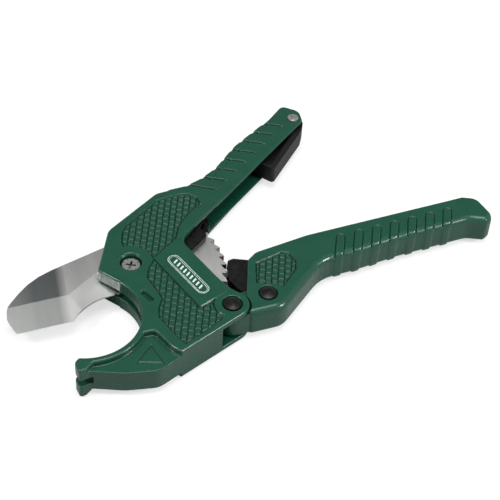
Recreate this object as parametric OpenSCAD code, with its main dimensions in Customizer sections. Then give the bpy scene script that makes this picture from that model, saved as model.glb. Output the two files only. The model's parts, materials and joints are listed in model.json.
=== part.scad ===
// Ratcheting cutter for plastic pipe, lying on its back face with the jaw open.
// Origin: the blade pivot axis on the rest plane. +X runs along the fixed handle,
// the jaw faces -X, the moving handle is on the -Y side, and +Z is up.

/* [Body casting] */
// Thickness of the body over both walls
body_t = 16.2; // [15.8:0.1:17]
// Width of the slot that the blade runs in
slot_w = 3.8; // [3.7:0.1:4.2]
// Width of the rear cavity that holds the handle lugs and the pawls
cavity_w = 11; // [10.9:0.1:11.4]
// Depth of the side panels sunk into the hook
panel_d = 2.7; // [1.5:0.1:3]
// How much thinner the fixed handle is on each side
grip_step = 1.6; // [1:0.1:1.8]

/* [Throat] */
// Radius of the throat, which seats the pipe
throat_r = 23.2; // [22.8:0.1:23.4]
// Throat centre along X
throat_x = -36.2; // [-36.4:0.1:-36]
// Throat centre along Y
throat_y = -3.5; // [-3.7:0.1:-3.3]
// Width of the raised rim round the throat
rim_w = 2.8; // [2:0.1:3.5]

/* [Blade] */
// Thickness of the blade
blade_t = 3; // [2.6:0.1:3]
// Width of the ground bevels
bevel_w = 14; // [10:0.5:15]
// Thickness left at the cutting edge
edge_t = 0.3; // [0.2:0.1:0.6]

/* [Ratchet] */
// Radius over the ratchet teeth
ratchet_r = 42; // [41.8:0.1:42.1]
// Depth of a ratchet tooth
tooth_d = 2.6; // [2.2:0.1:2.8]
// Angle from one tooth to the next
tooth_pitch = 7.3; // [7.2:0.1:7.4]
// Number of ratchet teeth
tooth_count = 12; // [10:1:12]
// Angle of the first tooth's steep flank
first_flank = -18.5; // [-18.7:0.1:-18.4]

/* [Pivots] */
// Handle pivot along X
handle_x = 4.8; // [4.6:0.1:5]
// Handle pivot along Y
handle_y = -49.3; // [-49.5:0.1:-49.2]
// Drive pawl pin along X
pawl_x = 19.7; // [19.6:0.1:19.8]
// Drive pawl pin along Y
pawl_y = -57.7; // [-57.8:0.1:-57.6]
// Stop pawl pin along X
stop_x = 46.5; // [46.4:0.1:46.8]
// Stop pawl pin along Y
stop_y = -3.5; // [-3.6:0.1:-3.3]
// Latch rivet along X
latch_x = 126.6; // [126.4:0.1:127.2]
// Latch rivet along Y
latch_y = -4.4; // [-4.6:0.1:-3.6]

/* [Moving handle] */
// Thickness of the moving handle
handle_t = 14.1; // [13.8:0.1:14.3]
// Width of the channel along the moving handle
handle_channel_w = 9.7; // [9.5:0.1:10]

/* [Pins] */
// Radius of the blade screw's shank
screw_r = 2.5; // [2.3:0.1:2.7]
// Outer radius of the blade bush
bush_r = 4.5; // [4.2:0.1:4.5]
// Radius of the handle pin
handle_pin_r = 3; // [2.8:0.1:3.1]
// Radius of the drive pawl pin
pawl_pin_r = 2.2; // [2:0.1:2.4]
// Radius of the stop pawl pin
stop_pin_r = 1.5; // [1.3:0.1:1.6]
// Radius of the latch rivet
latch_rivet_r = 1.5; // [1.3:0.1:1.6]
// Radial clearance of a part that turns on its pin
running = 0.05; // [0.03:0.01:0.08]
// Radial clearance of a pin that stays still in its hole
still = 0.02; // [0.01:0.01:0.03]

/* [Hidden] */

mid = body_t / 2;
throat = [throat_x, throat_y];
handle_pivot = [handle_x, handle_y];
pawl_pivot = [pawl_x, pawl_y];
stop_pivot = [stop_x, stop_y];
latch_pivot = [latch_x, latch_y];
root_r = ratchet_r - tooth_d;
slot_r = ratchet_r + 1;
tip_land = 0.8;
grip_channel_w = 10.2;
grip_from = 44;
grip_full = 66;
latch_w = 8.4;
pawl_w = 8;
stop_pawl_w = 8.4;
lug_w = cavity_w - 0.4;
lug_r = 6.9;
lug_gap = 4.4;
handle_boss_r = 7.3;
smooth = 96;

// Angles at which the pawls' noses stand when they hold a tooth
drive_hold = -33.85;
stop_hold = -11.65;
handle_stroke = 36;
stop_swing = 12.5;

// Shared shapes

function unit(v) = v / norm(v);
function polar(r, a) = r * [cos(a), sin(a)];

// Points of the arc that rounds corner b of the path a-b-c with radius r
function corner_arc(a, b, c, r) =
    let (u = unit(a - b),
         v = unit(c - b),
         half = acos(u * v) / 2,
         reach = r / tan(half),
         centre = b + unit(u + v) * r / sin(half),
         from = b + u * reach - centre,
         to = b + v * reach - centre,
         start = atan2(from.y, from.x),
         turn = atan2(from.x * to.y - from.y * to.x, from * to),
         steps = max(2, ceil(abs(turn) / 12)))
    [for (i = [0:steps]) centre + polar(r, start + turn * i / steps)];

// A closed path of [x, y, corner radius] points, as plain points
function rounded(path) =
    let (n = len(path), p = [for (q = path) [q.x, q.y]])
    [for (i = [0:n - 1])
        each path[i][2] == 0 ? [p[i]] : corner_arc(p[(i + n - 1) % n], p[i], p[(i + 1) % n], path[i][2])];

// A flat shape made t thick, centred on the mid-plane
module slab(t) {
    translate([0, 0, mid - t / 2]) linear_extrude(t) children();
}

// A flat shape raised from height low to height high
module layer(low, high) {
    translate([0, 0, low]) linear_extrude(high - low) children();
}

// A round pin or hole between two heights
module post(at, r, low, high) {
    translate([at.x, at.y, low]) cylinder(r = r, h = high - low, $fn = smooth);
}

// A flat ring
module ring(at, inner, outer, low, high) {
    difference() {
        post(at, outer, low, high);
        post(at, inner, low - 1, high + 1);
    }
}

// A rivet head whose edge starts at height low, with a domed top
module domed_head(at, r, low, edge, dome) {
    sphere_r = (r * r + dome * dome) / (2 * dome);
    post(at, r, low, low + edge);
    intersection() {
        translate([at.x, at.y, low + edge + dome - sphere_r]) sphere(r = sphere_r, $fn = smooth);
        post(at, r, low + edge / 2, low + edge + dome + 1);
    }
}

// Round wire of radius r bent along a path of points
module wire(path, r) {
    sides = 8;
    n = len(path);
    points = [for (i = [0:n - 1])
        let (along = unit(path[min(i + 1, n - 1)] - path[max(i - 1, 0)]),
             side = unit(cross(along, [0, 0, 1])),
             up = cross(side, along))
        for (j = [0:sides - 1]) path[i] + r * (cos(360 * j / sides) * side + sin(360 * j / sides) * up)];
    walls = [for (i = [0:n - 2], j = [0:sides - 1])
        let (a = i * sides + j, b = i * sides + (j + 1) % sides)
        each [[a, b, b + sides], [a, b + sides, a + sides]]];
    start_cap = [for (j = [sides - 1:-1:0]) j];
    end_cap = [for (j = [0:sides - 1]) (n - 1) * sides + j];
    polyhedron(points, concat([start_cap, end_cap], walls));
}

// Path of a torsion spring: a straight leg, a coil round the origin, a straight leg
function torsion_path(r, height, start, sweep, leg_in, leg_out) =
    let (steps = ceil(sweep / 20))
    concat([[r * cos(start) + leg_in * sin(start), r * sin(start) - leg_in * cos(start), 0]],
           [for (i = [0:steps]) [r * cos(start + sweep * i / steps),
                                 r * sin(start + sweep * i / steps), height * i / steps]],
           [[r * cos(start + sweep) - leg_out * sin(start + sweep),
             r * sin(start + sweep) + leg_out * cos(start + sweep), height]]);

// Body casting

module frame_outline() {
    boss_right = handle_x + handle_boss_r;
    difference() {
        polygon(rounded([
            [-62.3, -20.4, 1.2], [-59.2, -15.4, 2.5], [-54.6, -15.4, 0.5], [throat_x, throat_y, 0],
            [-12.6, throat_y, 0], [-12.6, 8.2, 1.5], [9.8, 19.6, 6], [41.8, 16.8, 5],
            [54, 9.3, 8], [62, 7, 12], [74, 5.4, 20], [92, 7, 40], [118, 4.7, 40],
            [131.6, 5.4, 3], [133.4, -3.8, 5], [128.2, -9, 4], [38, -9.2, 6],
            [23.6, -9.8, 7], [14, -35.7, 8], [boss_right, -42, 3],
            [boss_right, handle_y - 9.5, handle_boss_r], [-27, -48.2, 4], [-41.2, -44.6, 8],
            [-50.4, -34.4, 18], [-57.4, -22.6, 3]]));
        translate(throat) circle(r = throat_r, $fn = smooth);
    }
}

// Side view of the body: full thickness at the jaw, thinner along the grip
module frame_side() {
    rotate([90, 0, 0])
        translate([0, 0, -60])
            linear_extrude(140)
                polygon([[-80, 0], [grip_from, 0], [grip_full, grip_step], [150, grip_step],
                         [150, body_t - grip_step], [grip_full, body_t - grip_step],
                         [grip_from, body_t], [-80, body_t]]);
}

// Sunk panel of the hook, bounded by the throat's rim and a curved shoulder
module hook_panel() {
    difference() {
        polygon(rounded([[-75, -21.6, 0], [-30, -21.6, 0], [-30, -29, 1.5], [-26.2, -31.5, 3],
                         [-29.6, -42, 14], [-30, -60, 0], [-75, -60, 0]]));
        translate(throat) circle(r = throat_r + rim_w, $fn = smooth);
    }
}

// Everything the blade and its ratchet sector sweep through
module blade_slot() {
    jaw_slot_r = 60;
    jaw_depth = 9.3;
    tip_slot_end = -23.2;
    circle(r = slot_r, $fn = smooth);
    // Open end between the two prongs of the hook's tip
    translate([-80, tip_slot_end]) square([25, 13]);
    intersection() {
        circle(r = jaw_slot_r, $fn = smooth);
        translate(throat) circle(r = throat_r + jaw_depth, $fn = smooth);
    }
}

// Room behind the blade for the handle lugs, the drive pawl and the stop pawl
module rear_cavity() {
    boss_r = 10.5;
    difference() {
        polygon([[-8, -60], [-8, -46], [-1, -14], [14, -9], [17, 12.6], [36, 12.6], [47, 6.4],
                 [53, 2.9], [53, -20], [24, -20], [24, -60]]);
        circle(r = boss_r, $fn = smooth);
    }
}

module frame_casting() {
    head_seat = 4.2;
    nut_seat = 4;
    color("darkslategray") difference() {
        intersection() {
            layer(0, body_t) frame_outline();
            frame_side();
        }
        layer(-1, panel_d) hook_panel();
        layer(body_t - panel_d, body_t + 1) hook_panel();
        slab(slot_w) blade_slot();
        slab(cavity_w) rear_cavity();
        slab(grip_channel_w) translate([46, -20]) square([100, 23.4]);
        // Blade screw: shank, head seat and nut seat
        post([0, 0], screw_r + still, -1, body_t + 1);
        post([0, 0], 4.8, body_t - head_seat, body_t + 1);
        translate([0, 0, -1]) cylinder(r = 5, h = nut_seat + 1, $fn = 6);
        // Handle pin: bore, head seat and clip seat
        post(handle_pivot, handle_pin_r + still, -1, body_t + 1);
        post(handle_pivot, 4.4, body_t - 1.1, body_t + 1);
        post(handle_pivot, 5.2, -1, 1.3);
        // Stop pawl pin, blind from the back
        post(stop_pivot, stop_pin_r + still, -1, body_t - 1.1);
        // Latch rivet
        post(latch_pivot, latch_rivet_r + still, -1, body_t + 1);
    }
}

// Blade with its ratchet sector

// One tooth: its tip, then the foot of its steep flank
function tooth(i) =
    let (a = first_flank - i * tooth_pitch)
    [polar(ratchet_r, a + tip_land), polar(ratchet_r, a), polar(root_r, a)];

module blade_outline() {
    sector_end = first_flank - tooth_count * tooth_pitch + 2;
    // Circle that keeps the heel out of the throat when the jaw is fully open
    heel_centre = [-29.9, -20.7];
    heel_r = 24.7;
    difference() {
        polygon(concat(
            rounded([[-31.2, -0.4, 0], [-55.4, 17.8, 0.6], [-50, 29.4, 9.5], [-28.6, 32.3, 38],
                     [12, 16, 6], [19, 4, 12], [23.5, -10.6, 3], [36.5, -10.6, 0]]),
            [for (i = [0:tooth_count - 1]) each tooth(i)],
            [polar(root_r, sector_end), [-13, -30], [-13, -1.64]]));
        translate(heel_centre) circle(r = heel_r, $fn = smooth);
    }
}

// Wedge that grinds the bevel of one cutting edge on the upper face
module bevel_cut(at, turn, start, end) {
    slope = (blade_t - edge_t) / 2 / bevel_w;
    overrun = 6;
    translate([at.x, at.y, mid])
        rotate([0, 0, turn])
            translate([start, 0, 0])
                rotate([90, 0, 90])
                    linear_extrude(end - start)
                        polygon([[-overrun, edge_t / 2 - slope * overrun], [bevel_w, blade_t / 2],
                                 [bevel_w, blade_t], [-overrun, blade_t]]);
}

module blade() {
    corner = [-31.2, -0.4];
    outer_turn = atan2(-18.2, 24.2);
    inner_turn = atan2(-0.85, 12.5);
    color("silver") difference() {
        slab(blade_t) blade_outline();
        for (side = [0, 1]) {
            translate([0, 0, side * body_t])
                mirror([0, 0, side]) {
                    bevel_cut(corner, outer_turn, -34, 16);
                    bevel_cut(corner, inner_turn, -16, 21.5);
                }
        }
        post([0, 0], bush_r + running, 0, body_t);
    }
}

// Steel sleeve that the blade turns on, clamped lightly by the walls
module blade_bush() {
    color("goldenrod") ring([0, 0], screw_r + running, bush_r, mid - slot_w / 2 + 0.05, mid + slot_w / 2 - 0.05);
}

// Thin washers on both faces of the blade
module blade_washers() {
    gap = 0.05;
    thickness = (slot_w - blade_t) / 2 - 2 * gap;
    low = mid - slot_w / 2 + gap;
    high = mid + blade_t / 2 + gap;
    color("gainsboro") for (z = [low, high]) ring([0, 0], bush_r + running, 7, z, z + thickness);
}

// Cross-head screw that clamps the two walls round the bush
module blade_screw() {
    head_low = body_t - 4.15;
    head_h = 2.1;
    recess_d = 1.3;
    color("lightgray") difference() {
        union() {
            post([0, 0], screw_r, 0.5, head_low + 0.1);
            post([0, 0], 3.9, head_low, head_low + head_h);
        }
        for (turn = [25, 115]) {
            translate([0, 0, head_low + head_h - recess_d / 2])
                rotate([0, 0, turn])
                    cube([4.4, 0.9, recess_d + 0.02], center = true);
        }
    }
}

module lock_washer() {
    color("gainsboro") ring([0, 0], screw_r + still, 4, 3.35, 3.95);
}

module blade_nut() {
    color("silver") difference() {
        translate([0, 0, 0.5]) cylinder(r = 4.6, h = 2.8, $fn = 6);
        post([0, 0], screw_r + still, 0, 4);
    }
}

// Handle pivot

// Rivet-headed pin, held at the back by a push-on clip
module handle_pin() {
    color("black") union() {
        post(handle_pivot, handle_pin_r, 0.2, body_t - 0.9);
        domed_head(handle_pivot, 3.7, body_t - 1.05, 1.1, 0.8);
    }
}

module handle_pin_clip() {
    color("dimgray") ring(handle_pivot, handle_pin_r + still, 4.8, 0.35, 1.2);
}

// Torsion spring that opens the handle, coiled between the handle's lugs
module handle_spring() {
    wire_r = 0.5;
    coil_h = 3;
    color("gray") translate([handle_x, handle_y, mid - coil_h / 2])
        wire(torsion_path(4, coil_h, 60, 970, 4.5, 6.5), wire_r);
}

// Moving handle

module handle_outline() {
    difference() {
        polygon(rounded([
            [7, -55, 0], [15.3, -49.6, 2], [31.5, -39.7, 3.5], [37.5, -39.9, 5], [60, -52.5, 30],
            [123.8, -97.8, 3], [126.8, -103.6, 5], [120.6, -115.4, 2.5], [116.2, -114.6, 2],
            [112.5, -107.4, 8], [84, -87.8, 30], [64.5, -76.3, 30], [50.5, -66.5, 20],
            [17.2, -67.6, 9], [5.4, -58.6, 1]]));
        translate(handle_pivot) circle(r = handle_boss_r + 0.6, $fn = smooth);
    }
}

// Lugs that carry the handle on its pin, inside the body
module handle_lugs() {
    translate(handle_pivot) circle(r = lug_r, $fn = smooth);
    translate(handle_pivot) rotate(-32) translate([0, -lug_r]) square([13, 2 * lug_r]);
}

// Channel along the handle, open towards the fixed handle
module handle_channel() {
    translate(pawl_pivot) circle(r = 5.3, $fn = smooth);
    polygon(rounded([
        [14.3, -35, 0], [14.3, -60, 3], [20, -63.6, 3], [51.4, -63.6, 8], [65.6, -73.6, 20],
        [85.4, -85, 20], [113.8, -104.6, 3], [119.4, -103, 3], [120, -88, 0], [70, -45, 0], [40, -30, 0]]));
}

module handle_casting() {
    color("darkslategray") difference() {
        union() {
            slab(handle_t) handle_outline();
            slab(lug_w) handle_lugs();
        }
        slab(handle_channel_w) handle_channel();
        // Room between the lugs for the spring, closed by a wall on the outside
        slab(lug_gap) translate(handle_pivot) circle(r = 5.1, $fn = smooth);
        slab(lug_gap) translate(handle_pivot) rotate(-25) translate([0, -2]) square([20, 20]);
        post(handle_pivot, handle_pin_r + running, 0, body_t);
        post(pawl_pivot, pawl_pin_r + still, 0, body_t);
        post(pawl_pivot, 4.2, mid + handle_t / 2 - 0.9, body_t);
        post(pawl_pivot, 4, 0, mid - handle_t / 2 + 1.1);
    }
}

// Drive pawl

module pawl_pin() {
    back = mid - handle_t / 2;
    front = mid + handle_t / 2;
    color("black") union() {
        post(pawl_pivot, pawl_pin_r, back + 0.1, front - 0.7);
        domed_head(pawl_pivot, 3.6, front - 0.85, 0.9, 0.8);
    }
}

module pawl_pin_clip() {
    back = mid - handle_t / 2;
    color("dimgray") ring(pawl_pivot, pawl_pin_r + still, 3.6, back + 0.2, back + 1);
}

// Where the pawl pin stands when the handle is squeezed fully
pawl_pivot_shut = handle_pivot + [[cos(handle_stroke), -sin(handle_stroke)],
                                  [sin(handle_stroke), cos(handle_stroke)]] * (pawl_pivot - handle_pivot);
drive_nose = polar(ratchet_r - 1.8, drive_hold);
drive_reach = norm(drive_nose - pawl_pivot_shut);
drive_shut_turn = atan2(drive_nose.y - pawl_pivot_shut.y, drive_nose.x - pawl_pivot_shut.x);
// Turn of the pawl at rest: its nose stands just clear of the teeth
drive_rest_r = ratchet_r + 0.4;
drive_rest_turn = let (far = norm(pawl_pivot),
                       at_pin = acos((far * far + drive_reach * drive_reach - drive_rest_r * drive_rest_r)
                                     / (2 * far * drive_reach)))
                  atan2(-pawl_y, -pawl_x) - at_pin;

// A point given in the blade's frame when the pawl holds, as seen from the pawl's pin
function from_drive_pin(p) =
    let (d = p - pawl_pivot_shut)
    [d.x * cos(drive_shut_turn) + d.y * sin(drive_shut_turn),
     -d.x * sin(drive_shut_turn) + d.y * cos(drive_shut_turn)];

module drive_pawl_outline() {
    flank_side = from_drive_pin(polar(ratchet_r + 0.9, drive_hold));
    circle(r = 4.6, $fn = smooth);
    polygon(rounded([[0, 4.6, 0], [12, 6.9, 4], [17.5, 6.6, 4], [24.6, 3, 1], [drive_reach, 0, 0],
                     [flank_side.x, flank_side.y, 0], [22, -8.1, 2], [12, -8.6, 4], [0, -4.6, 0]]));
}

// Lower step of the cheeks, which guides the pawl along the sides of the sector
module drive_pawl_guide() {
    polygon(rounded([[6, 4.8, 0], [13.4, 8.4, 3], [20, 8.6, 1.5], [25, 4.2, 1], [24.4, 0, 0], [6, 0, 0]]));
}

module drive_pawl() {
    flank_side = from_drive_pin(polar(ratchet_r + 0.9, drive_hold));
    slope_side = from_drive_pin(polar(ratchet_r + 0.9, drive_hold - 6.4));
    guide_step = 1;
    color("black") translate([pawl_x, pawl_y, 0]) rotate([0, 0, drive_rest_turn]) difference() {
        union() {
            difference() {
                slab(pawl_w) drive_pawl_outline();
                slab(pawl_w - 2 * guide_step) drive_pawl_guide();
                // The cheeks straddle the blade's sector
                slab(slot_w) translate(from_drive_pin([0, 0])) circle(r = ratchet_r + 0.9, $fn = smooth);
            }
            slab(pawl_w) polygon([[drive_reach, 0], flank_side, [20, -3.5], slope_side]);
        }
        post([0, 0], pawl_pin_r + running, 0, body_t);
        // Seat of the spring, round the front face of the hub
        ring([0, 0], 2.7, 6.5, mid + pawl_w / 2 - 1.2, body_t);
    }
}

// Torsion spring that turns the drive pawl towards the teeth
module drive_pawl_spring() {
    wire_r = 0.3;
    color("gray") translate([pawl_x, pawl_y, mid + 3.5])
        wire(torsion_path(3.1, 0.75, 215, 430, 3, 4), wire_r);
}

// Stop pawl: its cheeks straddle the sector and its nose holds the blade between strokes

stop_nose = polar(ratchet_r - 1.1, stop_hold) - stop_pivot;

module stop_pawl_cheeks() {
    polygon(rounded([[2.5, 3.2, 1], [-10, 3.2, 4], [-22.4, -3.4, 2], [-24.2, -12, 2], [-11, -12, 2],
                     [-8.8, -9.8, 1], [-8.6, -6.4, 1], [-1.5, -4.6, 2], [3.2, -3, 2]]));
}

// A point beside the stop pawl's nose, at distance r from the blade pivot and an angle past the nose
function by_stop_nose(r, past) = polar(r, stop_hold + past) - stop_pivot;

module stop_pawl_nose() {
    polygon([stop_nose, by_stop_nose(ratchet_r + 0.9, 0), by_stop_nose(ratchet_r + 1.1, 4), [0, 3.2],
             [1.5, -2.6], by_stop_nose(ratchet_r + 2.6, -1.6), by_stop_nose(ratchet_r + 0.8, -2.8)]);
}

module stop_pawl() {
    cheek_t = 1.8;
    hub_r = 3.4;
    nose_w = blade_t + 0.6;
    color("black") difference() {
        union() {
            for (z = [mid - stop_pawl_w / 2, mid + stop_pawl_w / 2 - cheek_t]) {
                translate([stop_x, stop_y, z]) linear_extrude(cheek_t) stop_pawl_cheeks();
            }
            translate([stop_x, stop_y, 0]) rotate([0, 0, stop_swing]) slab(nose_w) stop_pawl_nose();
            slab(stop_pawl_w - 0.6) translate(stop_pivot) circle(r = hub_r, $fn = smooth);
        }
        post(stop_pivot, stop_pin_r + running, 0, body_t);
    }
}

module stop_pawl_pin() {
    color("silver") post(stop_pivot, stop_pin_r, 0.6, body_t - 1.2);
}

// Torsion spring beside the stop pawl
module stop_pawl_spring() {
    wire_r = 0.25;
    color("gray") translate([stop_x, stop_y, mid + 4.55])
        wire(torsion_path(2.2, 0.6, 60, 430, 3, 5), wire_r);
}

// Latch that keeps the handles shut

module latch_outline() {
    nose_x = 91.2;
    polygon(rounded([[nose_x, -1.6, 3], [nose_x, -15.9, 1.6], [122.4, -11.6, 6], [130.2, -8.4, 3.5],
                     [130.4, -0.8, 3], [122, 0.6, 6]]));
}

// Pocket in each cheek of the latch, which leaves a rim along its outer edge
module latch_pocket() {
    polygon(rounded([[92.6, 2, 0], [92.6, -13.4, 2], [104, -11.3, 20], [119.4, -8.6, 3], [122.4, 2, 0]]));
}

module latch_lever() {
    pocket_d = 2;
    color("black") difference() {
        slab(latch_w) latch_outline();
        layer(mid - latch_w / 2 - 1, mid - latch_w / 2 + pocket_d) latch_pocket();
        layer(mid + latch_w / 2 - pocket_d, mid + latch_w / 2 + 1) latch_pocket();
        post(latch_pivot, latch_rivet_r + running, 0, body_t);
    }
}

module latch_rivet() {
    head_r = 2.7;
    color("silver") union() {
        post(latch_pivot, latch_rivet_r, grip_step - 0.3, body_t - grip_step + 0.3);
        domed_head(latch_pivot, head_r, body_t - grip_step + 0.02, 0.3, 0.4);
        post(latch_pivot, head_r, grip_step - 0.6, grip_step - 0.02);
    }
}

module latch_washers() {
    gap = 0.08;
    thickness = (grip_channel_w - latch_w) / 2 - 2 * gap;
    first = mid - grip_channel_w / 2 + gap;
    second = mid + latch_w / 2 + gap;
    color("gainsboro") for (low = [first, second]) {
        ring(latch_pivot, latch_rivet_r + still, 3, low, low + thickness);
    }
}

frame_casting();
handle_casting();
blade();
blade_bush();
blade_washers();
blade_screw();
lock_washer();
blade_nut();
handle_pin();
handle_pin_clip();
handle_spring();
pawl_pin();
pawl_pin_clip();
drive_pawl();
drive_pawl_spring();
stop_pawl();
stop_pawl_pin();
stop_pawl_spring();
latch_lever();
latch_rivet();
latch_washers();
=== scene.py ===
import json
import math

import bmesh
import bpy
import numpy as np
from mathutils import Matrix, Vector
from mathutils.kdtree import KDTree


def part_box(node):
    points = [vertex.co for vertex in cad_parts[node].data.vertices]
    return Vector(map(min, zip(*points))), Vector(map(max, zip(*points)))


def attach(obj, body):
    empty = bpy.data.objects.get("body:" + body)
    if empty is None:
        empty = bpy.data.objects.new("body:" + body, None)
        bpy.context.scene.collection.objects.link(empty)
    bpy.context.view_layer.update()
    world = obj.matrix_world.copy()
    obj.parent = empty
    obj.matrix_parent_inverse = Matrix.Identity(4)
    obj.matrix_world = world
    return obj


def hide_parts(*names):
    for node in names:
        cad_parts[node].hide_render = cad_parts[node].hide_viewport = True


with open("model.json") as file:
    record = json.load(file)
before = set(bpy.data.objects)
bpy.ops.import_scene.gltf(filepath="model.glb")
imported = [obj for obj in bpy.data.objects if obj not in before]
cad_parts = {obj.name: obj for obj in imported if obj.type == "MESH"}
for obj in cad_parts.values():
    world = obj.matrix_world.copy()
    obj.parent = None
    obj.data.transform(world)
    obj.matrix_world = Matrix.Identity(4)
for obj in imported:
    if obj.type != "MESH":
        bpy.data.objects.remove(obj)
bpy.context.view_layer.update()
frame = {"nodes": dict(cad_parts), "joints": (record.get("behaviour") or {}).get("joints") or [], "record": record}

# Lengths are in millimetres and become metres through MM. Only the stage is laid out in metres.
MM = 0.001
nodes = frame["nodes"]


# ---------------------------------------------------------------- places from the frame

def box_mm(node):
    """Lowest and highest corners of a CAD node in millimetres."""
    low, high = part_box(node)
    return np.array(low) / MM, np.array(high) / MM


def joint_mm(name):
    """Where a joint's axis stands in the XY plane, in millimetres."""
    joint = next(j for j in frame["joints"] if j["name"] == name)
    return np.array(joint["pos_m"][:2]) / MM


BODY_LOW, BODY_HIGH = box_mm("frame_casting")
HANDLE_LOW, HANDLE_HIGH = box_mm("handle_casting")
MID = (BODY_LOW[2] + BODY_HIGH[2]) / 2
BLADE_PIVOT = joint_mm("ratchet_advance")
HANDLE_PIVOT = joint_mm("handle_pivot")
PAWL_PIVOT = joint_mm("drive_pawl_swing")

# The badge on the label plate: the ends of its centre line, and the radius of its outline
BADGE_TOP = (11.4, -14.8)
BADGE_END = (4.3, -34.4)
BADGE_R = 2.7


# ---------------------------------------------------------------- materials

def grey(level):
    """A colour with three equal parts."""
    return (level, level, level)


class Nodes:
    """A node tree with a few helpers, so that each finish reads as a short recipe."""

    def __init__(self, tree):
        self.tree = tree
        self.coordinates = self.node("ShaderNodeTexCoord").outputs

    def node(self, kind, **settings):
        """Adds a node and sets its properties."""
        made = self.tree.nodes.new(kind)
        for key, value in settings.items():
            setattr(made, key, value)
        return made

    def feed(self, socket, value):
        """Gives an input socket a plain value, or links an output socket to it."""
        if isinstance(value, bpy.types.NodeSocket):
            self.tree.links.new(value, socket)
        else:
            socket.default_value = value

    def map_range(self, value, start, end, low=0.0, high=1.0):
        """Runs from low to high as the value goes from start to end, and stays level outside."""
        made = self.node("ShaderNodeMapRange")
        ends = {"Value": value, "From Min": start, "From Max": end, "To Min": low, "To Max": high}
        for key, number in ends.items():
            self.feed(made.inputs[key], number)
        return made.outputs["Result"]

    def along(self, vector, direction):
        """How far a vector reaches along a direction."""
        made = self.node("ShaderNodeVectorMath", operation="DOT_PRODUCT")
        self.feed(made.inputs[0], vector)
        self.feed(made.inputs[1], direction)
        return made.outputs["Value"]

    def parts(self, vector):
        """The X, Y and Z of a vector."""
        made = self.node("ShaderNodeSeparateXYZ")
        self.feed(made.inputs["Vector"], vector)
        return made.outputs

    def math(self, operation, a, b=0.0):
        """One step of arithmetic; each operand is a socket or a number."""
        made = self.node("ShaderNodeMath", operation=operation)
        self.feed(made.inputs[0], a)
        self.feed(made.inputs[1], b)
        return made.outputs["Value"]

    def mix(self, factor, a, b):
        """Runs from a to b as the factor goes from 0 to 1; each is a socket or a plain colour."""
        made = self.node("ShaderNodeMix", data_type="RGBA")
        self.feed(made.inputs["Factor"], factor)
        for key, colour in (("A", a), ("B", b)):
            self.feed(made.inputs[key], (*colour, 1) if isinstance(colour, tuple) else colour)
        return made.outputs["Result"]

    def ramp(self, value, stops):
        """Maps a value to colours; stops is a list of (value, colour)."""
        made = self.node("ShaderNodeValToRGB")
        elements = made.color_ramp.elements
        while len(elements) < len(stops):
            elements.new(0.5)
        for element, (place, colour) in zip(elements, stops):
            element.position = place
            element.color = (*colour, 1)
        self.feed(made.inputs["Fac"], value)
        return made.outputs["Color"]

    def shades(self, value, low, high, start=0.3, end=0.7):
        """Runs from the colour low to the colour high as the value goes from start to end."""
        return self.ramp(value, [(start, low), (end, high)])


class Shader(Nodes):
    """A material whose patterns are laid out in the object's own frame."""

    def __init__(self, name):
        self.material = bpy.data.materials.new(name)
        self.material.use_nodes = True
        super().__init__(self.material.node_tree)
        self.surface = self.tree.nodes["Principled BSDF"]
        self.position = self.coordinates["Object"]

    def set(self, **inputs):
        """Feeds the surface's inputs, with _ for each space in their names."""
        for key, value in inputs.items():
            self.feed(self.surface.inputs[key.replace("_", " ")], value)

    def placed(self, origin=(0, 0), turn=0.0, scale=(1, 1, 1)):
        """The position in millimetres, seen from an origin in XY, turned about Z and scaled down."""
        made = self.node("ShaderNodeMapping", vector_type="TEXTURE")
        made.inputs["Location"].default_value = (origin[0] * MM, origin[1] * MM, 0)
        made.inputs["Rotation"].default_value = (0, 0, turn)
        made.inputs["Scale"].default_value = [s * MM for s in scale]
        self.feed(made.inputs["Vector"], self.position)
        return made.outputs["Vector"]

    def noise(self, size, detail=3, stretch=(1, 1, 1), turn=0.0):
        """Noise from 0 to 1 whose grains are about size across, and longer where stretched."""
        made = self.node("ShaderNodeTexNoise")
        self.feed(made.inputs["Vector"], self.placed(turn=turn, scale=[size * s for s in stretch]))
        self.feed(made.inputs["Scale"], 1)
        self.feed(made.inputs["Detail"], detail)
        return made.outputs["Fac"]

    def rough(self, noise, low, high):
        """Varies the roughness from low to high with a noise."""
        self.set(Roughness=self.map_range(noise, 0, 1, low, high))

    def bump(self, height, depth, strength):
        """Adds a fine texture to the surface's shading."""
        made = self.node("ShaderNodeBump")
        self.feed(made.inputs["Height"], height)
        self.feed(made.inputs["Distance"], depth * MM)
        self.feed(made.inputs["Strength"], strength)
        self.set(Normal=made.outputs["Normal"])

    def unshaded(self, reach):
        """Near 0 in recesses narrower than the reach, and 1 on open surfaces: the mask through which shade is
        painted into recesses.
        """
        made = self.node("ShaderNodeAmbientOcclusion", samples=8)
        self.feed(made.inputs["Distance"], reach * MM)
        return self.shades(made.outputs["AO"], grey(0), grey(1), start=0.48, end=0.93)


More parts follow.
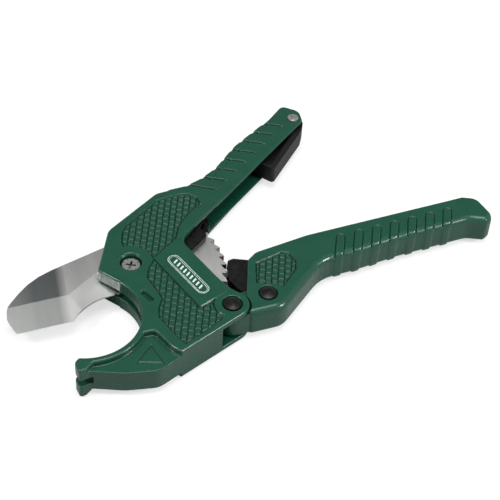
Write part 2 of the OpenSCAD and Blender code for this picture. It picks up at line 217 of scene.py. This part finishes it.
def badge_print(s):
    """1 on the badge's print on the front face: two outlines round a row of plain slanted bars."""
    outer_half = 0.13
    inner_half = 0.1
    line_gap = 0.65
    bar_pitch = 2.3
    bar_slant = 0.16
    bar_share = 0.4
    bar_reach = 1.15
    end_gap = 0.2
    below_plate = MID + 6
    top, end = Vector(BADGE_TOP), Vector(BADGE_END)
    length = (end - top).length
    turn = math.atan2(end.y - top.y, end.x - top.x)
    along, across, up = s.parts(s.placed(BADGE_TOP, turn))

    def band(value, centre, half_w):
        return s.math("LESS_THAN", s.math("ABSOLUTE", s.math("SUBTRACT", value, centre)), half_w)

    def square(value):
        return s.math("MULTIPLY", value, value)

    on_axis = s.math("MAXIMUM", s.math("MINIMUM", along, length), 0)
    beyond = s.math("SUBTRACT", along, on_axis)
    away = s.math("SQRT", s.math("ADD", square(beyond), square(across)))
    outer_line = band(away, BADGE_R, outer_half)
    inner_line = band(away, BADGE_R - line_gap, inner_half)
    slanted = s.math("ADD", s.math("DIVIDE", along, bar_pitch), s.math("MULTIPLY", across, bar_slant))
    bars = band(s.math("FRACT", slanted), 0.5, bar_share / 2)
    bars = s.math("MULTIPLY", bars, band(across, 0, bar_reach))
    bars = s.math("MULTIPLY", bars, band(along, length / 2, length / 2 - end_gap))
    drawn = s.math("MAXIMUM", s.math("MAXIMUM", outer_line, inner_line), bars)
    return s.math("MULTIPLY", drawn, s.math("GREATER_THAN", up, below_plate))


def green_enamel():
    """Semi-gloss enamel on a die casting, with the printed badge, and painted shade that makes it duller and
    darker in recesses.
    """
    s = Shader("green_enamel")
    unshaded = s.unshaded(1.4)
    colour = s.shades(s.noise(9, 4), (0.0065, 0.060, 0.034), (0.0088, 0.069, 0.040))
    # Painted shade: recesses are mixed towards a much darker green.
    colour = s.mix(unshaded, (0.003, 0.034, 0.020), colour)
    s.set(Base_Color=s.mix(badge_print(s), colour, (0.62, 0.72, 0.70)))
    s.rough(s.noise(3, 5), 0.22, 0.32)
    # Painted shade: shine and coat fade out in recesses.
    s.set(Specular_IOR_Level=s.map_range(unshaded, 0, 1, 0.08, 0.42))
    s.set(Coat_Weight=s.map_range(unshaded, 0, 1, 0, 0.3), Coat_Roughness=0.05)
    return s.material


def blade_steel():
    """Brushed stainless steel: flats with a painted reflection that turns from dark to bright, and paler ground
    bevels with painted light that depends on which way they face.
    """
    s = Shader("blade_steel")
    brushed = math.radians(45)
    grain = s.noise(0.25, stretch=(60, 1, 1), turn=brushed)
    streaks = s.shades(s.noise(2.5, 2, stretch=(12, 1, 1), turn=brushed), grey(0.9), grey(1))
    # Painted reflection: the flats are dark near the tip and turn bright further along, as if reflecting a darker
    # and a paler part of the studio.
    from_tip = s.map_range(s.along(s.position, (1, -1, 0)), -72 * MM, -22 * MM)
    painted_flat_reflection = s.ramp(from_tip, [(0.0, (0.42, 0.44, 0.43)), (0.25, (0.24, 0.26, 0.26)),
                              (0.52, (0.22, 0.24, 0.24)), (0.64, (0.88, 0.89, 0.87)),
                              (0.8, (0.82, 0.82, 0.81)), (1.0, (0.96, 0.96, 0.94))])
    # Ground bevels are pale; painted light makes those that face +X lighter still.
    facing = s.parts(s.coordinates["Normal"])
    bevels_with_painted_light = s.shades(facing["X"], (0.74, 0.74, 0.72), (0.94, 0.94, 0.92), start=0, end=0.12)
    is_flat = s.shades(s.math("ABSOLUTE", facing["Z"]), grey(0), grey(1), start=0.992, end=0.998)
    s.set(Base_Color=s.mix(streaks, grey(0.2), s.mix(is_flat, bevels_with_painted_light, painted_flat_reflection)))
    s.set(Metallic=1, Anisotropic=0.5)
    s.rough(grain, 0.26, 0.42)
    s.bump(grain, depth=0.008, strength=0.5)
    return s.material


def bright_steel():
    """Zinc-plated steel, with painted shade that makes its recesses dark."""
    s = Shader("bright_steel")
    colour = s.shades(s.noise(0.9), (0.50, 0.50, 0.49), (0.95, 0.95, 0.94), start=0.35, end=0.6)
    # Painted shade: recesses go nearly black.
    s.set(Base_Color=s.mix(s.unshaded(1), grey(0.03), colour), Metallic=1)
    s.rough(s.noise(0.6, 4), 0.2, 0.45)
    s.bump(s.noise(0.6), depth=0.05, strength=0.6)
    return s.material


def black_oxide():
    """Blackened steel, a little rough, with paler patches."""
    s = Shader("black_oxide")
    colour = s.shades(s.noise(2.2, 5), (0.010, 0.010, 0.011), (0.028, 0.028, 0.030), 0.35, 0.75)
    s.set(Base_Color=colour, Metallic=0.6)
    s.rough(s.noise(0.8, 4), 0.22, 0.45)
    s.bump(s.noise(0.8), depth=0.1, strength=0.7)
    return s.material


def black_plastic():
    """Moulded black plastic with a fine spark-eroded texture."""
    s = Shader("black_plastic")
    s.set(Base_Color=s.shades(s.noise(6), grey(0.004), grey(0.008)))
    # Painted shade: shine fades out in recesses.
    s.set(Specular_IOR_Level=s.map_range(s.unshaded(3), 0, 1, 0.05, 0.4))
    s.rough(s.noise(1), 0.32, 0.5)
    s.bump(s.noise(0.6, 2), depth=0.08, strength=0.8)
    return s.material


def spring_steel():
    """Dull drawn wire."""
    s = Shader("spring_steel")
    s.set(Base_Color=s.shades(s.noise(1.2), (0.22, 0.22, 0.23), (0.35, 0.35, 0.36)), Metallic=1)
    s.rough(s.noise(0.5), 0.25, 0.4)
    return s.material


def bush_bronze():
    """Machined bronze."""
    s = Shader("bush_bronze")
    s.set(Base_Color=s.shades(s.noise(1.5), (0.42, 0.27, 0.10), (0.55, 0.38, 0.17)), Metallic=1)
    s.rough(s.noise(0.7), 0.3, 0.45)
    return s.material


RECIPES = (green_enamel, blade_steel, bright_steel, black_oxide, black_plastic, spring_steel,
           bush_bronze)
FINISHES = {recipe.__name__: recipe() for recipe in RECIPES}


def dress(piece, finish):
    """Gives a piece the material and the record's slot of the same name."""
    piece.data.materials.clear()
    piece.data.materials.append(FINISHES[finish])


# ---------------------------------------------------------------- shapes as distances

def smooth_step(x):
    """0 below 0 and 1 above 1, with a smooth rise between."""
    x = np.clip(x, 0, 1)
    return x * x * (3 - 2 * x)


def inside(depth, wall):
    """Turns the distance inside a shape into 0 outside and 1 inside, over a sloping wall."""
    return smooth_step(depth / wall + 0.5)


def on_line(depth, at, half_w, wall):
    """1 along the line that runs at a given distance inside a shape, and 0 away from it."""
    return inside(half_w - np.abs(depth - at), wall)


def from_edge(xy, a, b):
    """Distance from the straight line between two points."""
    edge = b - a
    along = np.clip((xy - a) @ edge / (edge @ edge), 0, 1)
    return np.hypot(*(xy - a - along[:, None] * edge).T)


def in_polygon(xy, corners):
    """Distance inside a closed polygon: positive inside and negative outside."""
    corners = np.array(corners, float)
    nearest = np.full(len(xy), np.inf)
    odd = np.zeros(len(xy), bool)
    for a, b in zip(corners, np.roll(corners, -1, axis=0)):
        edge = b - a
        nearest = np.minimum(nearest, from_edge(xy, a, b))
        crosses = (a[1] > xy[:, 1]) != (b[1] > xy[:, 1])
        if edge[1]:
            odd ^= crosses & (xy[:, 0] < a[0] + (xy[:, 1] - a[1]) / edge[1] * edge[0])
    return np.where(odd, nearest, -nearest)


def in_stadium(xy, a, b, radius):
    """Distance inside a bar with round ends that runs from a to b."""
    return radius - from_edge(xy, np.array(a, float), np.array(b, float))


def in_circle(xy, centre, radius):
    """Distance inside a circle."""
    return radius - np.hypot(xy[:, 0] - centre[0], xy[:, 1] - centre[1])


# ---------------------------------------------------------------- relief on the castings

# The brick pattern, the depth of the recesses that hold it, and the width of a steep wall
BRICK_L = 3.3
BRICK_W = 2.77
BRICK_H = 0.65
BRICK_TURN = math.radians(30)
JOINT_W = 0.5
FIELD_DEPTH = 0.85
STEEP = 0.3


def brick_joints(xy):
    """1 along the sunk joints of a running bond, and 0 on the bricks."""
    along = xy[:, 0] * math.cos(BRICK_TURN) + xy[:, 1] * math.sin(BRICK_TURN)
    across = -xy[:, 0] * math.sin(BRICK_TURN) + xy[:, 1] * math.cos(BRICK_TURN)
    row = np.floor(across / BRICK_W)
    along = along / BRICK_L + 0.5 * (row % 2)
    to_end = BRICK_L * (0.5 - np.abs(along - np.floor(along) - 0.5))
    to_side = BRICK_W * (0.5 - np.abs(across / BRICK_W - row - 0.5))
    return inside(JOINT_W / 2 - np.minimum(to_end, to_side), STEEP)


def brick_field(xy, depth_in):
    """A recess filled with bricks that rise to just below its rim."""
    rim_gap = 0.5
    bricks = BRICK_H * (1 - brick_joints(xy)) * inside(depth_in - rim_gap, STEEP)
    return bricks - FIELD_DEPTH * inside(depth_in, STEEP)


# Outlines on the body: the raised label plate, the recesses above and below it, the mark on the
# hook, and the centre line of the oblong pocket behind the throat
PLATE = [(7.4, -6.9), (-4.7, -39.4), (7.4, -43.2), (20, -44), (30, -8)]
UPPER_FIELD = [(7, 10.3), (12, 13.8), (17, 15.2), (38, 13.8), (43, 11), (48, 8), (50.8, 5), (51.3, 1),
               (49, -2.7), (36, -3.3), (30, -4.3), (24, -7.2), (20, -11), (7.4, -6.9), (7, 0), (5, 7)]
LOWER_FIELD = [(7.4, -6.9), (0.4, -8.5), (-3.6, -11), (-8, -20), (-10, -23.4), (-15.4, -25.4),
               (-19.4, -28.6), (-22.6, -37), (-25.4, -46.2), (-6, -50.6), (4, -50), (8, -43.2),
               (-4.7, -39.4)]
TRIANGLE = [(-43.6, -34.2), (-31.4, -33.4), (-36.8, -44.4)]
THROAT_POCKET = [(-11.9, -15.4), (-13.1, -19.9)]
SCREW_BOSS_R = 9.6
PIN_BOSS_R = 7.7


def body_relief(xy):
    """Height added to both faces of the body."""
    plate_rise = 0.3
    pocket_depth = 2.4
    mark_depth = 0.45
    plate = in_polygon(xy, PLATE)
    upper = np.minimum(in_polygon(xy, UPPER_FIELD), -in_circle(xy, BLADE_PIVOT, SCREW_BOSS_R))
    lower = np.minimum(in_polygon(xy, LOWER_FIELD), -in_circle(xy, HANDLE_PIVOT, PIN_BOSS_R))
    height = brick_field(xy, np.minimum(upper, -plate)) + brick_field(xy, lower)
    height += plate_rise * inside(plate, 0.5)
    pocket = in_stadium(xy, *THROAT_POCKET, radius=1.3)
    height -= pocket_depth * inside(pocket, STEEP)
    mark = on_line(in_polygon(xy, TRIANGLE), at=0.3, half_w=0.25, wall=0.25)
    return height - mark_depth * mark - groove_depth(xy)


def badge_relief(xy):
    """Height added to the front face of the body: the badge's rim."""
    rim_rise = 0.12
    badge = in_stadium(xy, BADGE_TOP, BADGE_END, BADGE_R)
    return rim_rise * on_line(badge, at=0, half_w=0.2, wall=0.2)


# The grooves of the fixed handle
GROOVE_X = 57.6
GROOVE_PITCH = 8.15
GROOVE_COUNT = 8
GROOVE_WALL = 0.35


def groove_depth(xy):
    """Slanted grooves along the fixed handle, each with a short dent under its lower end."""
    groove_deep = 1.1
    dent_deep = 0.7
    depth = np.zeros(len(xy))
    for x in GROOVE_X + GROOVE_PITCH * np.arange(GROOVE_COUNT):
        groove = in_stadium(xy, (x - 0.8, 7), (x + 3.3, -2.4), radius=0.38)
        dent = in_stadium(xy, (x + 3.3, -3.5), (x + 3.5, -3.9), radius=0.3)
        depth += groove_deep * inside(groove, GROOVE_WALL) + dent_deep * inside(dent, GROOVE_WALL)
    return depth


def in_grip_bars(xy):
    """Distance inside the raised bars between the grooves, where they wrap over the top edge."""
    first_x = GROOVE_X - 0.4
    lean = 0.4
    edge_y = 5
    bar_half = 0.34
    overrun = 0.9
    far_outside = -9
    phase = (xy[:, 0] + lean * (xy[:, 1] - edge_y) - first_x) / GROOVE_PITCH
    from_centre = np.abs(phase - np.floor(phase) - 0.5)
    on_grip = (phase > -overrun) & (phase < GROOVE_COUNT - overrun)
    return np.where(on_grip, GROOVE_PITCH * (bar_half - from_centre), far_outside)


# The moving handle's recess, and the bars across its grip
HANDLE_FIELD = [(21.6, -50.4), (31.6, -43.6), (43.9, -48.9), (45.4, -52.2), (43.4, -57.2),
                (38.6, -60.2), (27.2, -60.9), (25.2, -56.4)]
PAWL_BOSS_R = 5.6
RIB_R = 1.65
RIB_L = 30
RIB_COUNT = 7
FIRST_RIB = (68.9, -65.0)
LAST_RIB = (112.4, -95.9)
RIB_TURN = math.radians(206.6)


def in_ribs(xy):
    """Distance inside the nearest of the bars across the moving handle."""
    direction = np.array((math.cos(RIB_TURN), math.sin(RIB_TURN)))
    tips = np.linspace(FIRST_RIB, LAST_RIB, RIB_COUNT)
    ribs = [in_stadium(xy, tip + RIB_R * direction, tip + RIB_L * direction, RIB_R) for tip in tips]
    return np.max(ribs, axis=0)


def handle_relief(xy):
    """Height added to both faces of the moving handle."""
    rib_rise = 0.3
    moat_depth = 0.5
    field = np.minimum(in_polygon(xy, HANDLE_FIELD), -in_circle(xy, PAWL_PIVOT, PAWL_BOSS_R))
    ribs = in_ribs(xy)
    moat = on_line(ribs, at=-0.22, half_w=0.22, wall=0.25)
    return brick_field(xy, field) + rib_rise * inside(ribs, 0.4) - moat_depth * moat


# ---------------------------------------------------------------- castings

VOXEL = 0.25

# Radii of the rounded rims: all round, and on the outer side of the moving handle
RIM_R = 0.9
GRIP_RIM_R = 3.2

# The fixed handle gets thinner by this much on each face, over this stretch along X
GRIP_STEP = 1.6
GRIP_FROM = 44
GRIP_FULL = 66

# The directions that the handles' outer sides face
FIXED_HANDLE_OUT = (0, 1)
MOVING_HANDLE_OUT = (-0.56, -0.83)


def remeshed_copy(node, name):
    """A CAD node's shape as an even, dense mesh with softly rounded edges."""
    weld = 0.001
    smooth_passes = 6
    mesh = nodes[node].data.copy()
    bm = bmesh.new()
    bm.from_mesh(mesh)
    bmesh.ops.remove_doubles(bm, verts=bm.verts, dist=weld * MM)
    bm.to_mesh(mesh)
    bm.free()
    mesh.materials.clear()
    piece = bpy.data.objects.new(name, mesh)
    bpy.context.scene.collection.objects.link(piece)
    remesh = piece.modifiers.new("remesh", "REMESH")
    remesh.mode = "VOXEL"
    remesh.voxel_size = VOXEL * MM
    relax = piece.modifiers.new("relax", "SMOOTH")
    relax.iterations = smooth_passes
    bpy.context.view_layer.update()
    graph = bpy.context.evaluated_depsgraph_get()
    final = bpy.data.meshes.new_from_object(piece.evaluated_get(graph))
    piece.modifiers.clear()
    piece.data = final
    final.name = name
    final.shade_smooth()
    return piece


def read_vectors(vertices, attribute):
    """One vector of each vertex as an array."""
    values = np.empty(len(vertices) * 3, np.float32)
    vertices.foreach_get(attribute, values)
    return values.reshape(-1, 3)


def read_shape(piece):
    """A piece's points in millimetres, and its directions there."""
    vertices = piece.data.vertices
    return read_vectors(vertices, "co").astype(float) / MM, read_vectors(vertices, "normal")


def write_points(piece, points):
    """Puts a piece's points back, from millimetres."""
    piece.data.vertices.foreach_set("co", (points * MM).astype(np.float32).ravel())
    piece.data.update()


def body_half(x):
    """Half the body's thickness along X."""
    full = (BODY_HIGH[2] - BODY_LOW[2]) / 2
    return full - GRIP_STEP * np.clip((x - GRIP_FROM) / (GRIP_FULL - GRIP_FROM), 0, 1)


def handle_half(x):
    """Half the moving handle's thickness along X."""
    return np.full(len(x), (HANDLE_HIGH[2] - HANDLE_LOW[2]) / 2)


def roll_edges(piece, radius, half_at, outward=None):
    """Rounds the rims between the flat faces and the side walls, or only those that face outward."""
    wall_depth = 0.6
    wall_reach = 0.5
    upright = 0.3
    facing_out = 0.6
    above_face = 0.3
    points, normals = read_shape(piece)
    from_mid = points[:, 2] - MID
    below = half_at(points[:, 0]) - np.abs(from_mid)

    # The side wall just under the rounding gives each rim vertex the direction to roll in
    wall = (np.abs(below - radius - wall_depth) < wall_reach) & (np.abs(normals[:, 2]) < upright)
    if outward:
        wall &= normals[:, :2] @ np.array(outward, float) > facing_out
    wall = np.flatnonzero(wall)
    tree = KDTree(len(wall))
    for place, i in enumerate(wall):
        tree.insert((points[i, 0], points[i, 1], 0), place)
    tree.balance()

    for i in np.flatnonzero((below < radius) & (below > -above_face)):
        _, place, away = tree.find((points[i, 0], points[i, 1], 0))
        if away > radius:
            continue
        out = normals[wall[place], :2]
        out = out / np.hypot(*out)
        inward = (points[wall[place], :2] - points[i, :2]) @ out
        corner = np.array((inward - radius, below[i] - radius))
        reach = np.hypot(*corner)
        if inward < radius and reach > radius:
            shift = corner * (radius / reach - 1)
            points[i, :2] -= shift[0] * out
            points[i, 2] -= math.copysign(shift[1], from_mid[i])
    write_points(piece, points)


def carve(piece, half_at, relief, front_relief=None):
    """Moves the vertices on the two outer faces by the relief, and on the front by its own as well."""
    face_depth = 3.6
    facing_from = 0.35
    facing_rise = 0.4
    points, normals = read_shape(piece)
    half = half_at(points[:, 0])
    for side in (1, -1):
        below = half - side * (points[:, 2] - MID)
        share = smooth_step((side * normals[:, 2] - facing_from) / facing_rise)
        share *= below < face_depth
        on_face = share > 0
        height = relief(points[on_face, :2])
        if front_relief and side > 0:
            height += front_relief(points[on_face, :2])
        points[on_face, 2] += side * share[on_face] * height
    write_points(piece, points)


def swell(piece, depth_in, outward, height):
    """Pushes the outer side wall of a handle out where its bars wrap round the edge."""
    wall = 1.6
    facing_from = 0.2
    facing_rise = 0.35
    points, normals = read_shape(piece)
    facing = normals[:, :2] @ np.array(outward, float)
    share = smooth_step((facing - facing_from) / facing_rise)
    push = height * inside(depth_in(points[:, :2]), wall) * share
    write_points(piece, points + push[:, None] * normals)


def make_body_shell():
    """The body's visible shell, with its recesses, label plate, badge, grooves and grip bars."""
    piece = remeshed_copy("frame_casting", "body_shell")
    roll_edges(piece, RIM_R, body_half)
    carve(piece, body_half, body_relief, badge_relief)
    swell(piece, in_grip_bars, FIXED_HANDLE_OUT, height=0.35)
    dress(piece, "green_enamel")
    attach(piece, "frame")
    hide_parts("frame_casting")


def make_handle_shell():
    """The moving handle's visible shell, with its recess and the bars across its grip."""
    piece = remeshed_copy("handle_casting", "handle_shell")
    roll_edges(piece, RIM_R, handle_half)
    roll_edges(piece, GRIP_RIM_R, handle_half, MOVING_HANDLE_OUT)
    carve(piece, handle_half, handle_relief)
    swell(piece, in_ribs, MOVING_HANDLE_OUT, height=0.4)
    dress(piece, "green_enamel")
    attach(piece, "handle")
    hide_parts("handle_casting")


# ---------------------------------------------------------------- CAD parts that stay

REPLACED = ("frame_casting", "handle_casting")

# Widths of the rounded edges
SOFT_EDGES = {"blade": 0.22, "drive_pawl": 0.35, "stop_pawl": 0.3, "latch_lever": 0.7,
              "blade_screw": 0.12, "blade_nut": 0.2, "handle_pin": 0.15, "pawl_pin": 0.15,
              "latch_rivet": 0.15}


def soften(piece, width):
    """A small rounding that catches the light on a part's edges."""
    bevel = piece.modifiers.new("soft_edges", "BEVEL")
    bevel.width = width * MM
    bevel.segments = 2
    bevel.limit_method = "ANGLE"
    bevel.angle_limit = math.radians(40)


def dress_cad_parts():
    """Gives each CAD part that stays the finish that the record names."""
    slots = {part["node"]: part["material_slot"] for part in frame["record"]["subparts"]}
    for name, piece in nodes.items():
        if name not in REPLACED:
            dress(piece, slots[name])
        if name in SOFT_EDGES:
            soften(piece, SOFT_EDGES[name])


# ---------------------------------------------------------------- stage, in metres

def make_floor():
    """Plain paper that the camera sees white, and that the tool reflects as pale grey."""
    below_tool = 0.0005
    glow = 0.62
    bpy.ops.mesh.primitive_plane_add(size=6, location=(0, 0, -below_tool))
    floor = bpy.context.active_object
    floor.name = "floor"
    s = Shader("floor_paper")
    to_camera = s.node("ShaderNodeLightPath").outputs["Is Camera Ray"]
    s.set(Base_Color=s.shades(s.noise(120, 2), grey(0.42), grey(0.44)), Roughness=0.9)
    s.set(Emission_Color=(1, 1, 1, 1), Emission_Strength=s.math("MULTIPLY", to_camera, glow))
    floor.data.materials.append(s.material)


def make_world():
    """A pale studio that is darker towards the back, where the tool's upper faces reflect it."""
    back = (0.62, 0.36, 0.70)
    world = bpy.data.worlds.new("studio")
    world.use_nodes = True
    s = Nodes(world.node_tree)
    light = s.tree.nodes["Background"].inputs
    s.feed(light["Color"], (1, 1, 1, 1))
    towards_back = s.along(s.coordinates["Generated"], back)
    s.feed(light["Strength"], s.map_range(towards_back, 0.78, 0.97, low=0.42, high=0.19))
    bpy.context.scene.world = world


def make_light(name, place, size, watts):
    """A round soft light that points at the middle of the tool."""
    target = Vector((0.02, -0.03, 0))
    light = bpy.data.lights.new(name, "AREA")
    light.shape = "DISK"
    light.size = size
    light.energy = watts
    lamp = bpy.data.objects.new(name, light)
    bpy.context.scene.collection.objects.link(lamp)
    lamp.location = place
    lamp.rotation_euler = (target - Vector(place)).to_track_quat("-Z", "Y").to_euler()


def make_lights():
    """A broad light overhead, a key from the left and a low one for the recesses."""
    make_light("overhead", (0.0, -0.1, 0.9), size=0.6, watts=4.1)
    make_light("key", (-0.45, 0.4, 0.7), size=0.2, watts=3)
    make_light("crease", (0.22, -0.73, 0.48), size=0.2, watts=3.6)


def make_camera():
    """A long lens above the hook's side of the tool, rolled a little."""
    place = Vector((-0.3412, -0.2557, 0.4416))
    forward = Vector((0.6195, 0.3577, -0.6988)).normalized()
    roll = math.radians(4.06)
    level = forward.cross(Vector((0, 0, 1))).normalized()
    upright = level.cross(forward)
    right = math.cos(roll) * level + math.sin(roll) * upright
    up = -math.sin(roll) * level + math.cos(roll) * upright
    camera = bpy.data.objects.new("camera", bpy.data.cameras.new("camera"))
    bpy.context.scene.collection.objects.link(camera)
    turn = Matrix((right, up, -forward)).transposed()
    camera.matrix_world = Matrix.Translation(place) @ turn.to_4x4()
    camera.data.sensor_width = 36
    camera.data.lens = 100.4
    camera.data.clip_start = 0.01
    bpy.context.scene.camera = camera


make_body_shell()
make_handle_shell()
dress_cad_parts()
make_floor()
make_world()
make_lights()
make_camera()
bpy.context.scene.view_settings.view_transform = "Standard"
